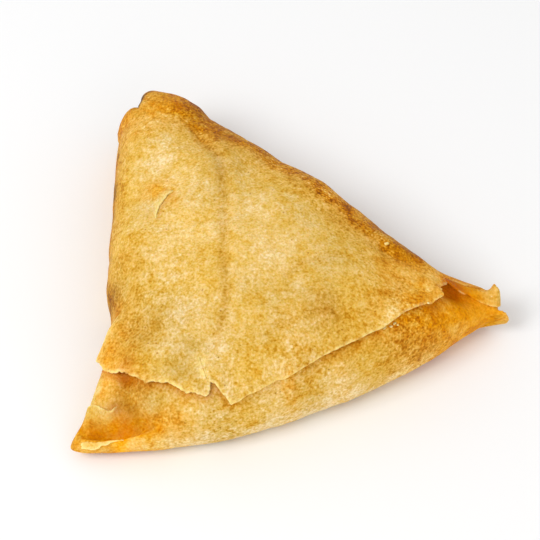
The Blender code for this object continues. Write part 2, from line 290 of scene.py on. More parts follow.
def filling_lumps(p):
    x, y = p[:, 0], p[:, 1]
    return (0.45 * np.sin(x / 5.3 + 0.6) * np.sin(y / 6.1 + 1.1) + 0.35 * np.sin(x / 3.9 - y / 4.7 + 2.0)
            + 0.25 * np.sin(x / 2.7 + y / 6.9 + 0.5) * np.sin(y / 3.3))


def along_line(p, line):
    """Distance to a polyline, and the place along it from 0 to 1."""
    line = np.array(line, float)
    length = np.linalg.norm(np.diff(line, axis=0), axis=1)
    start = np.concatenate([[0.0], np.cumsum(length)])
    best = np.full(len(p), 1e9)
    place = np.zeros(len(p))
    for i in range(len(length)):
        step = (line[i + 1] - line[i]) / length[i]
        rel = p[:, :2] - line[i]
        t = np.clip(rel @ step, 0.0, length[i])
        d = np.hypot(rel[:, 0] - t * step[0], rel[:, 1] - t * step[1])
        nearer = d < best
        best = np.where(nearer, d, best)
        place = np.where(nearer, (start[i] + t) / start[-1], place)
    return best, place


# ridges and grooves of the folded strip: line, half width, heights along it, mm
FOLDS = (
    (((-38.6, -39.9), (-34.5, -40.4), (-29, -40.6), (-22, -40.3), (-14, -38.8)), 1.25,
     (1.2, 1.3, 1.9, 1.4, 0)),
    (((34, -1.4), (38, -3.2), (43, -4.9), (48, -6)), 2, (0, 0.3, 0.8, 1.6)),
    (((47.1, -4.9), (47.5, -6.3)), 0.8, (4, 2.4)),
    (((46, -10.2), (50.2, -9.5)), 1.1, (0.7, 3.4)),
)
CREASES = (
    (((-39, -37.3), (-35.5, -38.2), (-30, -38.9), (-24, -38.9), (-19, -38.5), (-14, -37.6)), 1.7,
     (-0.4, -2.4, -3, -2.2, -1.2, 0)),
    (((-28.3, -27), (-28.1, -31.5), (-28.9, -33.2), (-27.6, -35.5), (-26, -38)), 2,
     (-2.2, -2.3, -1.5, -1.4, -0.9)),
    (((33, -6.8), (36.5, -7.2), (39.5, -7.9), (43, -9), (48.5, -9.6)), 2.4, (-1.4, -2.1, -1.4, -0.7, -0.3)),
)


def relief_of(p, lines):
    total = np.zeros(len(p))
    for line, width, heights in lines:
        d, place = along_line(p, line)
        total += np.interp(place, np.linspace(0.0, 1.0, len(heights)), heights) * bell(d, width)
    return total


def top_height(p, creased):
    near = np.clip(closeness(p), 0.0, 1.0)
    edge = np.sqrt(1.0 - (1.0 - near) ** 2.2)
    crown = np.ones(len(p))
    for side, reach in ((FRONT, 29.0), (BACK, 28.0), (LEFT, 27.0)):
        crown = crown * np.clip(side.distance(p), 0.0, 99.0) / reach
    pinch = 0.5 * hump(p, LEFT_CORNER, 22) + 0.5 * hump(p, OPEN_CORNER, 20) + 0.3 * hump(p, APEX, 18)
    z = middle_height(p) + EDGE_RISE * (1.0 - pinch) * edge + CROWN * crown
    relief = filling_lumps(p) * smooth(0.1, 0.8, near) + relief_of(p, FOLDS)
    if creased:
        relief = relief + relief_of(p, CREASES)
    return z + relief * smooth(0, 0.1, near)


def bottom_height(p):
    near = np.clip(closeness(p), 0.0, 1.0)
    return middle_height(p) * (1.0 - np.sqrt(1.0 - np.maximum(1.0 - near / 0.62, 0.0) ** 2.6))


def skin(u, creased):
    """Surface point for unrolled plan points u: inside the rim is the top, outside the underside."""
    ray, radius = heading(u)
    q = np.clip(np.hypot(u[:, 0], u[:, 1]) / radius, 0.0, 2.0)
    p = CENTRE + ray * (reach_of(q) * radius)[:, None]
    z = np.where(q <= 1.0, top_height(p, creased), bottom_height(p))
    return np.column_stack([p, np.maximum(z, 0.0)])


def skin_normal(u, creased):
    du, dv = np.eye(2) * 0.3
    return unit(np.cross(skin(u + du, creased) - skin(u - du, creased),
                         skin(u + dv, creased) - skin(u - dv, creased)))


def way_round(u):
    """How far round the skin an unrolled point lies: 1 on the outline, more underneath."""
    return np.hypot(u[:, 0], u[:, 1]) / heading(u)[1]


def unroll(plan):
    """Unrolled points of plan points on the top."""
    rel = np.array(plan, float) - CENTRE
    ray, radius = heading(rel)
    q = way_of(np.minimum(np.hypot(rel[:, 0], rel[:, 1]) / radius, 1.0))
    return ray * (q * radius)[:, None]


def resample(points, step, closed=False):
    pts = np.array(points, float)
    if closed:
        pts = np.concatenate([pts, pts[:1]])
    length = np.linalg.norm(np.diff(pts, axis=0), axis=1)
    start = np.concatenate([[0.0], np.cumsum(length)])
    count = max(3, int(round(start[-1] / step)))
    at = np.linspace(0.0, start[-1], count + 1)
    if closed:
        at = at[:-1]
    return np.stack([np.interp(at, start, pts[:, 0]), np.interp(at, start, pts[:, 1])], axis=1)


def ragged(line, amount, seed):
    """A torn edge: the line with short uneven steps across it.  amount may vary along it."""
    ahead = np.gradient(line, axis=0)
    across = unit(np.stack([ahead[:, 1], -ahead[:, 0]], axis=1))
    p = np.pad(line, ((0, 0), (0, 1)))
    wave = (0.8 * noise(p, 2.6, seed) + 0.7 * noise(p, 1.1, seed + 1)
            + 0.8 * noise(p, 0.5, seed + 2) * (0.4 + 1.2 * np.abs(noise(p, 3.0, seed + 3))))
    return line + across * (wave * amount)[:, None]


def inside_of(points, outline):
    inside = np.zeros(len(points), bool)
    x, y = points.T
    for (ax, ay), (bx, by) in zip(outline, np.roll(outline, -1, axis=0)):
        if ay != by:
            inside ^= ((ay > y) != (by > y)) & (x < ax + (y - ay) / (by - ay) * (bx - ax))
    return inside


def staggered(lo, hi, step):
    rows = []
    for j in range(int((hi[1] - lo[1]) / (step * 0.866)) + 1):
        x = np.arange(lo[0] + step * (0.5 if j % 2 else 0.0), hi[0], step)
        rows.append(np.stack([x, np.full(len(x), lo[1] + j * step * 0.866)], axis=1))
    return np.concatenate(rows)


def nearest(points, targets):
    """Distance from each point to the nearest target, in the plan."""
    tree = KDTree(len(targets))
    for i, (x, y) in enumerate(targets):
        tree.insert((x, y, 0.0), i)
    tree.balance()
    return np.array([tree.find((x, y, 0.0))[2] for x, y in points[:, :2]])


def fill_outline(outline, bands):
    """Triangles over a closed outline.  bands: (step, where) pairs, where(u) picks its points."""
    inner = []
    for step, where in bands:
        grid = staggered(outline.min(axis=0), outline.max(axis=0), step)
        grid = grid[inside_of(grid, outline)]
        grid = grid[where(grid)]
        inner.append(grid[nearest(grid, outline) > step * 0.6])
    points = [Vector(v) for v in np.concatenate([outline] + inner).tolist()]
    verts, _, faces, *_ = delaunay_2d_cdt(points, [], [list(range(len(outline)))], 1, 1e-6)
    u = np.array([tuple(v) for v in verts])
    tris = np.array([tuple(f) for f in faces], int)
    a = u[tris[:, 1]] - u[tris[:, 0]]
    b = u[tris[:, 2]] - u[tris[:, 0]]
    flip = a[:, 0] * b[:, 1] - a[:, 1] * b[:, 0] < 0.0
    tris[flip] = tris[flip][:, ::-1]
    return u, tris


def border_of(tris):
    """Directed border edges of a set of triangles."""
    edges = np.concatenate([tris[:, (0, 1)], tris[:, (1, 2)], tris[:, (2, 0)]])
    have = set(map(tuple, edges.tolist()))
    return [e for e in have if (e[1], e[0]) not in have]


def everywhere(u):
    return np.ones(len(u), bool)


def gap_to(points, line, step=0.12):
    """Distance from each point to a polyline."""
    return nearest(points, resample(line, step))


def make_piece(name, verts, faces, paints):
    """Mesh object from points in working mm, with one painted value per point for each mask."""
    mesh = bpy.data.meshes.new(name)
    mesh.from_pydata(((verts - ORIGIN) * MM).tolist(), [], faces)
    for key, values in paints.items():
        layer = mesh.attributes.new(key, "FLOAT", "POINT")
        layer.data.foreach_set("value", np.asarray(values, np.float32))
    mesh.polygons.foreach_set("use_smooth", np.ones(len(mesh.polygons), bool))
    mesh.set_sharp_from_angle(angle=math.radians(42.0))
    mesh.materials.append(pastry)
    mesh.update()
    piece = put(name, mesh)
    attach(piece, "root")
    return piece


# ---- relief of the outer wrap
# soft folds and dents: line, half width, heights along it, mm
WRAP_FOLDS = (
    (((-16.9, 31.4), (-10.6, 19.4), (-9.6, 10), (-9.3, -8), (-8.6, -18), (-10.8, -27)), 1.3,
     (-0.45, -0.4, -0.3, -0.32, -0.3, -0.1)),
    (((-14.8, 31.4), (-8.4, 19.4), (-7.2, 10), (-7, -8)), 1.6, (0.15, 0.32, 0.22, 0)),
    (((-24.8, 1.4), (-27.7, -4.3), (-29.5, -9.5)), 1.3, (-0.1, -0.25, -0.35)),
    (((3.4, -11.5), (7.5, -7.9), (13.6, -6.2)), 1.2, (-0.15, -0.3, -0.15)),
    (((17, 2), (24, -2.4), (31, -4)), 1.5, (0, -0.45, -0.2)),
    (((18, 6), (25, 0.5), (33, -3)), 1.3, (0, 0.35, 0.25)),
    (((-29, 2), (-29.5, 12), (-28.8, 22)), 1.6, (0, -0.22, 0)),
    (((13, -9), (12.5, -14), (14, -19)), 2, (-0.15, -0.3, -0.25)),
    (((2, -14), (2.8, -21), (0.5, -25)), 1.6, (0, -0.25, -0.15)),
    (((-20, 2.5), (-13.5, 3)), 1.1, (-0.12, -0.2)),
)
DENTS = (
    ((-23.5, 22), 5, 0.4), ((2, -2), 6, 0.25), ((-6, 6), 3.5, 0.3), ((-3.5, -25), 3.2, -0.28),
    ((-14, -25), 2.4, -0.25), ((-7.5, -29), 3, 0.18), ((-19, -26), 2.6, 0.2), ((24, -8), 3.5, 0.25),
)


def wrap_relief(p):
    return relief_of(p, WRAP_FOLDS) + sum(height * hump(p, c, size) for c, size, height in DENTS)


def fine_relief(p):
    """Soft blisters and ripples of baked pastry, mm."""
    return (0.16 * noise(p, 8.0, 3) + 0.10 * noise(p, 4.0, 4) + 0.055 * noise(p, 2.0, 5)
            + 0.12 * np.maximum(noise(p, 2.7, 6) - 0.25, 0.0))


# ---- colour masks
FLAKE_TIP = (-24.0, 3.1)
FLAKE_EDGE = ((-19.5, 11.3), (-20.4, 9.9), (-21, 9.4), (-21.8, 8), (-22.7, 6.6), (-23.2, 4.9),
              (-23.4, 3.5), FLAKE_TIP)
CAP_EDGE = ((-34, 41.5), (-30.5, 39), (-27.4, 38), (-24.5, 37), (-21.9, 35.2), (-19.6, 33.4),
            (-17.4, 31.2), (-15.3, 28.6), (-12.4, 30.6))
# single places of the crust: x, y, size, then how much more toast, oil, pale and painted shading (shade, or
# light where negative), in hundredths
SPOTS = (
    # apex and its cap
    (-25, 44, 4.5, 10, 35, -20, 8), (-16.5, 40.5, 3.2, 10, -10, -40, 10), (-15, 37.5, 3, 0, 0, -45, 0),
    (-20, 40.5, 4.5, 0, 25, 5, -15), (-25, 36, 4.5, 10, 45, 0, 0), (-20, 34.5, 3.5, 16, 30, 0, 15),
    (-30, 32, 5, 0, 25, -20, 0), (-21, 22, 6, 0, 0, 22, -10), (-12, 29.5, 4.5, 0, 22, -10, 12),
    (-5, 25.5, 3, 0, 10, 0, -15),
    # along the back
    (3, 20, 4.5, 0, 12, 0, -28), (12, 13, 5, 0, -5, 25, -60), (17, 9.5, 3.2, 0, 0, 0, -38),
    (20, 5.3, 3, 10, 35, -20, 0), (14, 5, 3, 15, 10, -20, 10), (30, 0.5, 3, 60, 20, -60, 65),
    (25, 0, 3, -10, 0, 30, -10),
    # middle
    (-20, 12, 4.5, 0, 0, 15, -20), (-10, 17.5, 5, 0, 0, 0, 28), (-10, 11, 4, 0, 0, -10, 15),
    (-15, 9.5, 3.5, 0, 0, 30, 0), (0, 5, 3.5, 0, 0, 35, -8), (-17, 0, 5.5, 0, 0, 10, -22),
    (0, -5, 4, 0, 0, 35, -10), (0, 0, 2.6, 0, 0, -30, 5), (-10, 0, 3, 0, 0, 20, 0),
    (-25.5, 7, 4.5, 0, 0, 0, 16), (-29.5, -8, 5, 0, 0, -25, 22), (-25, -5, 2.8, 0, 0, 65, 0),
    (-20, -9, 5, 0, 0, 20, 8), (12.5, -8, 5, 0, 0, 10, 26), (19, -2, 2.8, -10, 0, 20, -5),
    (-5.5, 15, 2.8, 0, 0, 25, -12), (-5, -15, 2.6, 0, 0, 30, 0), (0, -15.5, 3.5, 0, 0, 10, 12),
    (5, -15, 3, 0, 0, 15, 25), (9.5, -19, 3.6, 25, 0, -35, 35),
    # flake and the wrap just beside it
    (-24, 12, 2.8, 5, 85, 0, 0), (-23.6, 6.8, 1.6, 0, -30, 20, 0), (-20.2, 7.8, 1.9, 5, 40, -30, 8),
    # free end of the wrap
    (24, -5.8, 5, 0, 20, -15, -16), (29, -6.5, 4, 0, 20, 0, -15), (32.5, -9.2, 2.6, 10, 20, -20, 22),
    (15, -25, 3, 10, 0, -30, 20), (0, -25, 3.5, 0, 0, 0, 22), (-20, -20, 6.5, 0, 0, 15, 18),
    (-18.5, -20, 3.5, 0, 0, 30, 0), (-10, -21, 5.5, 0, 0, 30, 10), (-10, -28, 3.5, 0, 0, 45, 5),
    (-19.5, -25, 3.2, 0, 0, 33, 0), (-25, -22, 4.5, 12, 8, 0, 14), (-28.3, -14.5, 3.2, 10, 10, -30, 15),
    (-32.5, -24.5, 3, 0, 30, -20, 0),
    # open corner
    (38, -10, 4.5, 0, 0, 10, -40), (40, -4.5, 3, 0, 35, 0, 0), (35.5, -4.8, 2.5, 0, 30, 0, -35),
    (34.5, -15, 4, 0, 50, 0, 0), (30, -15.3, 3, 20, 75, -20, 0), (45, -10, 3, 0, 30, 0, 0),
    # front
    (23, -18.5, 5, 5, 22, -15, -5), (27, -20, 4, 0, 25, 0, 0), (15, -30, 4, 0, 0, 35, -15),
    (8, -30, 3.5, 0, 0, 0, 22), (1.8, -29, 2.8, 0, -10, 30, 0), (-10, -35.3, 4.2, 0, 0, 0, 28),
    (-17, -32, 5, 0, 0, 0, 30), (-23, -35, 4, 0, 0, 0, 30), (-18, -39, 3, 0, 35, 0, 0),
    # left corner
    (-30, -30.6, 3, 0, 0, 0, -48), (-33, -32, 2.2, 0, 35, 0, 0), (-35, -30, 2, 0, -30, 30, -10),
    (-35, -35, 2.5, 0, 0, -20, 20), (-28.2, -34, 2.2, 10, 30, 0, 0), (-25.5, -35, 2.2, 0, 30, 0, 10),
    (-29, -40, 3.3, 0, 25, 0, -50), (-32.2, -41.2, 2.2, 0, -45, 30, 15), (-27.5, -41, 2.6, 0, -50, 50, 10),
    (-37, -38, 2.4, 0, -20, 0, -25), (-32, -37.4, 3.2, 0, 0, 0, 24), (-25.5, -37.2, 3.2, 0, 0, -10, 22),
    (-20.5, -38.4, 2, 0, 25, -10, 5), (-26, -38.9, 1.6, 0, 0, 10, -22), (-35.8, -37.3, 2.2, 0, 0, 0, 20),
)
# wider patches, one mask at a time: x, y, size, amount in hundredths
TOAST_PATCHES = (
    (-29, -19.5, 1.8, 35), (11.5, -19, 3, 40), (3, -21.6, 2, 20), (24.2, -1.9, 2.6, 25), (-31.5, 35, 3, 25),
    (-12.6, 25.5, 4.5, 38), (-10, 15, 2.5, 20), (-29.5, -5, 4, 25), (15, -29, 2.2, 20),
    (-31.5, -12.5, 2.5, 40), (-30, -31.5, 2.4, 40), (-25.5, -33.5, 2.5, 35), (-15, 38.5, 3, 30),
    # the patch at (-33.4, -10.3), with the same in the painted shading, browns the left wall under the wrap's
    # hang: painted shade
    (-33.4, -10.3, 2.3, 80), (30, -18, 6, 45),
)
OIL_PATCHES = (
    (41, -7.8, 5.5, 120), (35, -12, 5, 100), (47.5, -10.2, 2.5, 80), (-32.5, 38, 2.2, 60), (-32, -23, 5, 55),
    (5, -27, 5, 20), (29, -18, 5, 25), (27, -11, 5, 30), (3.5, -32.3, 1.6, 50), (-33, -29.5, 1.3, 60),
    (-33.8, -31.5, 1.2, 50), (46, -12, 3, 60), (31, -2, 4, 50), (46.8, -6.2, 2.2, -40),
)
PALE_PATCHES = (
    (-23.5, 22, 4.5, 45), (-15, 10, 3.5, 65), (-5, 5, 3.8, 60), (-18, 0, 4.5, 35), (0, -8, 4.5, 65),
    (5, 0, 3, 30), (-20, -10, 3.5, 40), (0, -20, 2.6, 35), (-15, -19, 3, 20), (20, -10, 3, 25),
    (30, -10, 3, 50), (15, -30, 3.5, 60), (0, -35, 3, 45), (-20, -36, 3, 35), (-33, -35.5, 1.6, 70),
    (-30, 13, 5, -45), (-15, 20, 3.5, -55), (-10, 14, 3, -40), (-10, 27, 4, -35), (-20, 28, 4, -35),
    (3, 12, 5, -25), (14, 5, 4.5, -40), (-5, 0, 2.4, -30), (-29, -4, 5, -40), (-10, -5, 3, -40),
    (-10, -15, 3, -45), (15, -15, 3.5, -45), (-5, -20, 3, -35), (17, -24, 6, -40), (-15, -25, 3, -30),
    (-24, -30, 4, -35), (-5, -31, 3, -35), (-5, -36, 3, -55), (-28, -22, 5, -30),
)
PAINTED_SHADING_PATCHES = (
    (-25, -22, 6, 25), (-28.5, -33.5, 3, 40), (-16, -28, 3.5, 30), (-14.5, 38, 4, 30),
    (-33.4, -10.3, 2.3, 80), (-30.5, -31, 2.5, 35), (-38.5, -38.5, 2.2, 35),
)
ROUGH_PATCHES = (
    (27, -19, 8, 75), (8, -30, 7, 60), (-8, -37, 7, 70), (-2, -1, 13, -22), (-24, -15, 8, 30),
    (-22, 30, 7, 25), (10, 12, 9, 25), (41.5, -7, 5.5, -80), (47, -9, 4, -40), (-33, -37.5, 5, -60),
    (-27, -38.5, 3, -50),
)
PAINTED_SHADOW_PATCHES = (
    (37, -6.4, 2.2, 100), (39.5, -7.4, 2.2, 55), (36, -9.5, 2.5, 45), (33.5, -13.2, 1.8, 50),
    (-29.2, -28.8, 1.8, 45), (-31, -34.9, 1.5, 55), (-28.5, -37, 2.3, 45),
)
# burnt dashes along the left wall: y, half length, amount
BURNT_DASHES = ((29.5, 2.2, 0.9), (18.8, 3.8, 1), (10.3, 4.4, 0.6), (-0.4, 1.6, 0.6), (-5.8, 2.2, 0.9))
APEX_NOTCH = ((-29.8, 40.5), (-29, 40.4), (-28.6, 41.2), (-28.4, 43), (-27.6, 44.2), (-26.5, 45))


def unevenness(p, coarse, fine, seed, share=0.35):
    """Cloudy variation of two sizes, about -1 to 1."""
    return 0.5 * noise(p, coarse, seed) + share * noise(p, fine, seed + 1)


def spots(p, which, uneven):
    total = sum(row[3 + which] * hump(p, row[:2], row[2]) for row in SPOTS if row[3 + which])
    return 0.01 * total * (1.0 + 0.5 * uneven)


def patches(p, places, uneven):
    total = sum(amount * hump(p, (x, y), size) for x, y, size, amount in places)
    return 0.01 * total * (1.0 + 0.6 * uneven)


def beside(p, line, width):
    """1 on a line of the plan, falling off beside it."""
    return bell(along_line(p, line)[0], width)


def cap_part(p, uneven):
    """The browned end beyond the uppermost fold."""
    edge = np.array(CAP_EDGE)
    beyond = p[:, 1] - np.interp(p[:, 0], edge[:, 0], edge[:, 1])
    return smooth(-2.2, 2.8, beyond + 1.2 * uneven) * smooth(-10, -13, p[:, 0])


def left_rim(p):
    """The outermost line of the left side, where the wrap turns down."""
    return bell(p[:, 2] - 11.5, 2.5) * smooth(4, 2, LEFT.distance(p)) * smooth(-14, -4, p[:, 1])


def toast_mask(p):
    """Brown, where the heat reached most."""
    x, y = p[:, 0], p[:, 1]
    uneven = unevenness(p, 6.0, 2.6, 11)
    reach = 7.6 + 0.8 * smooth(10, 22, x) - 2.0 * smooth(25, 34, x) + 1.6 * uneven
    past = BACK.distance(p) - reach
    value = smooth(2.2, -1.6, past) * (1.0 - 0.35 * smooth(27, 36, x))
    value = np.maximum(value, 0.30 * smooth(7, 0, past) * smooth(30, 22, x))
    cap = cap_part(p, uneven)
    value = value * (1.0 - cap) + cap * (0.55 + 0.34 * smooth(-23, -15, x))
    value += 0.35 * np.exp(-np.clip(LEFT.distance(p), 0, 99) / 1.6) * smooth(-20, -10, y)
    value += 0.26 * beside(p, WRAP_FOLDS[0][0], 1.1) * smooth(-30, -24, y) * (1.0 + 0.6 * uneven)
    value += 0.18 * beside(p, WRAP_FOLDS[3][0], 0.9) + patches(p, TOAST_PATCHES, uneven)
    value *= 1.0 - 0.6 * smooth(27, 34, x) * smooth(0, -3, y)
    value += 0.45 * left_rim(p) + 0.15 * smooth(3.6, 1.2, LEFT.distance(p)) * smooth(-4, 4, y)
    return np.clip(value + spots(p, 0, uneven), 0.0, 1.0)


def oil_mask(p):
    """Deep amber, glassy pastry in the pinched corners and under the edge of the wrap."""
    x = p[:, 0]
    uneven = unevenness(p, 5.0, 2.2, 13)
    value = patches(p, OIL_PATCHES, uneven) + 0.45 * beside(p, FOLDS[0][0][:4], 1.2)
    value += 0.15 * cap_part(p, uneven) + 0.45 * beside(p, CREASES[1][0], 1.5)
    value += 1.2 * beside(p, CREASES[0][0][:5], 1.6 + 0.8 * smooth(-27, -31, x)) * smooth(-19, -25, x)
    return np.clip(value + spots(p, 1, uneven), 0.0, 1.0)


def pale_mask(p):
    """Creamy, little browned pastry, and a paler band low on the front that is painted light from the floor's
    bounce.
    """
    x, z = p[:, 0], p[:, 2]
    uneven = unevenness(p, 4.0, 2.0, 15, 0.4)
    # low on the front: painted light from the floor's bounce
    low = smooth(9.5, 4, z) * smooth(5, 1, FRONT.distance(p)) * smooth(-34, -20, x) * smooth(42, 20, x)
    middle = smooth(7, 15, BACK.distance(p)) * smooth(1.5, 8, LEFT.distance(p)) * smooth(24, 6, x)
    value = 0.95 * low + 0.20 * middle + patches(p, PALE_PATCHES, uneven)
    return np.clip(value + spots(p, 2, uneven), -0.8, 1.0)


def painted_shading_mask(p):
    """Painted shade: darker, greyer places in the folds and hollows; painted light where it goes below zero.
    """
    uneven = unevenness(p, 5.0, 2.2, 19)
    value = patches(p, PAINTED_SHADING_PATCHES, uneven) + 0.35 * beside(p, CREASES[1][0], 1.0)
    value += 0.14 * beside(p, WRAP_FOLDS[0][0], 1.0) * smooth(-26, -20, p[:, 1])
    return np.clip(value + spots(p, 3, uneven), -0.7, 1.0)


def rough_mask(p):
    """How much the crust colour varies: coarse on the front, smooth in the glassy corners."""
    return np.clip(patches(p, ROUGH_PATCHES, 0.5 * noise(p, 5.0, 25)), -0.8, 1.0)


def painted_shadow_mask(p):
    """Painted shadow, brown orange, where layers meet, in the deepest folds and beside the flake's edge."""
    uneven = unevenness(p, 5.0, 2.2, 22)
    value = patches(p, PAINTED_SHADOW_PATCHES, 0.6 * uneven) + 0.45 * beside(p, CREASES[0][0][1:4], 1.3)
    shadow = beside(p + np.array([-0.35, 0.1, 0.0]), FLAKE_EDGE[1:-1], 0.4)
    return np.clip(value + 0.3 * shadow * smooth(18, 20, p[:, 2]), 0.0, 1.0)


def char_mask(p):
    """Thin burnt line here and there on the outermost edge."""
    y, z = p[:, 1], p[:, 2]
    rim = np.minimum(np.abs(APEX_END.distance(p)) + 0.2, np.abs(BACK.distance(p)))
    burnt = smooth(-0.15, 0.35, noise(p, 9.0, 17) + 0.4 * noise(p, 3.0, 18))
    burnt = 0.4 * smooth(1.2, 0.3, rim) * burnt * smooth(11.5, 8.5, z)
    patchy = smooth(-0.5, 0.2, noise(p, 3.6, 24)) * smooth(-0.9, 0.1, noise(p, 0.9, 27))
    above = z - 13.0 + 3.3 * smooth(-2, -8, y)
    line = bell(above, np.where(above > 0.0, 1.6, 0.6)) * smooth(4, 2, LEFT.distance(p))
    for at, half, amount in BURNT_DASHES:
        burnt = np.maximum(burnt, amount * smooth(1, 0.5, np.abs(y - at) / half) * patchy * line)
    scorched = 0.9 * beside(p, APEX_NOTCH, 0.45) * smooth(-0.6, 0.1, noise(p, 1.8, 26))
    return 0.95 * np.maximum(burnt, scorched * smooth(18.6, 17.6, z))


MASKS = {"toast": toast_mask, "oil": oil_mask, "pale": pale_mask, "torn": lambda p: np.zeros(len(p)),
         "painted_shading": painted_shading_mask, "painted_shadow": painted_shadow_mask, "char": char_mask, "rough": rough_mask}


def masks_for(p):
    return {key: mask(p) for key, mask in MASKS.items()}


THINNEST = 0.25         # least thickness of a layer, and least height of its outside above the floor
INSIDE_FLOOR = 0.5      # least height of its inside above the floor


def sheet_piece(name, outline, free, bands, outer, inner, creased=False, lump=None, tint=None):
    """Closed thin layer over an unrolled outline.  outer(u, gap) and inner(u, gap) are heights
    above the skin, gap being the distance to the free torn edge."""
    u, tris = fill_outline(outline, bands)
    gap = gap_to(u, free)
    base = skin(u, creased)
    normal = skin_normal(u, creased)
    relief = fine_relief(base) + (0.0 if lump is None else lump(base))
    top = outer(u, gap)
    above = base + normal * (top + relief)[:, None]
    below = base + normal * (np.minimum(inner(u, gap), top - THINNEST) + relief)[:, None]
    above[:, 2] = np.maximum(above[:, 2], THINNEST)
    below[:, 2] = np.maximum(below[:, 2], INSIDE_FLOOR)
    border = border_of(tris)
    rim = np.unique(border)
    where = {v: k for k, v in enumerate(rim)}
    n = len(u)
    out = np.zeros((n, 3))
    for a, b in border:
        side = np.cross(above[b] - above[a], normal[a])
        side /= max(np.linalg.norm(side), 1e-9)
        out[a] += side
        out[b] += side
    push = unit(out[rim])
    tall = np.linalg.norm(above[rim] - below[rim], axis=1, keepdims=True)
    middle = (above[rim] + below[rim]) / 2.0 + push * np.minimum(0.25 * tall, 0.16)
    faces = tris.tolist() + (tris[:, ::-1] + n).tolist()
    for a, b in border:
        ma = 2 * n + where[a]
        mb = 2 * n + where[b]
        faces.append((b, a, ma, mb))
        faces.append((mb, ma, n + a, n + b))
    verts = np.concatenate([above, below, middle])
    far = np.concatenate([gap, gap, gap[rim]])
    masks = masks_for(verts)
    wide = 0.14 + 0.50 * hump(verts, (-12.6, -31.2), 2.8) + 0.10 * smooth(-10, -14, verts[:, 0])
    masks["torn"] = (bell(far, wide) * (0.65 + 0.9 * noise(verts, 1.2, 31))
                     * (1.0 - 0.45 * smooth(20, 34, verts[:, 0])))
    for key, value in (tint(verts, far) if tint else {}).items():
        masks[key] = np.clip(masks[key] + value, -0.7, 1.0)
    return make_piece(name, verts, faces, masks)


# ---- material
def rgb(r, g, b):
    """Linear colour from 0-255 display values."""
    out = []
    for c in (r, g, b):
        c = c / 255.0
        out.append(c / 12.92 if c <= 0.04045 else ((c + 0.055) / 1.055) ** 2.4)
    return (*out, 1.0)


